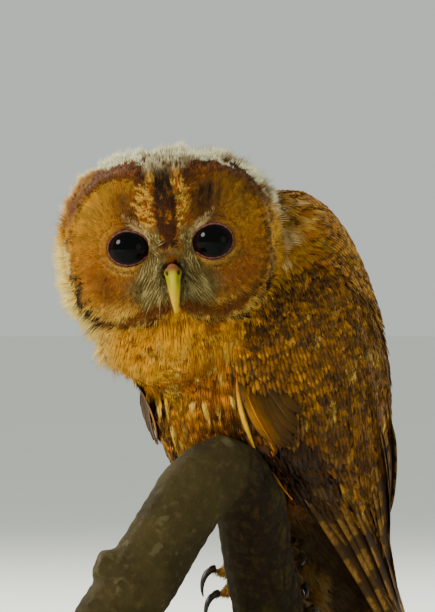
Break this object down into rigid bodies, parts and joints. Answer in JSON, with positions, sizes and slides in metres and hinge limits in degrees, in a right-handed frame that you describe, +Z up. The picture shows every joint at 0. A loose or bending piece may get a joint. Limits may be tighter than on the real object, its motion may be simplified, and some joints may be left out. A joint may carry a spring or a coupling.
{
  "type": "young tawny owl, life-size still model on a cut limb",
  "caption": "Young tawny owl leaning forward behind a crook of limb, head low and facing front, gripping the limb with both feet; the limb stands on a round base.",
  "frame": {"origin": "middle of the stand base's underside", "axes": "+Z up; the owl's face looks along -Y; +X is the viewer's right as the owl faces the viewer"},
  "size_m": [0.2321, 0.23, 0.3359],
  "materials": {
    "plumage": "soft body feathers, rufous with dark streaks",
    "face": "fine radiating face feathers",
    "flight": "barred flight feathers",
    "eye": "wet gloss",
    "bill": "satin horn",
    "toe": "short feathers over scaled skin",
    "claw": "satin horn",
    "bark": "rough bark with lichen",
    "rod": "aged, satin",
    "base": "dark stained and waxed"
  },
  "bodies": {
    "root": {"head": "plumage", "neck": "plumage", "trunk": "plumage", "leg_left": "plumage", "leg_right": "plumage", "facial_disc": "face", "wing_left": "flight", "wing_right": "flight", "tail": "flight", "eye_left": "eye", "eye_right": "eye", "bill": "bill", "foot_left": "toe", "foot_right": "toe", "claw_left_1": "claw", "claw_left_2": "claw", "claw_left_3": "claw", "claw_left_4": "claw", "claw_right_1": "claw", "claw_right_2": "claw", "claw_right_3": "claw", "claw_right_4": "claw", "perch_limb": "bark", "stand_base": "base", "stand_rod_left": "rod", "stand_rod_right": "rod"}
  },
  "joints": []
}
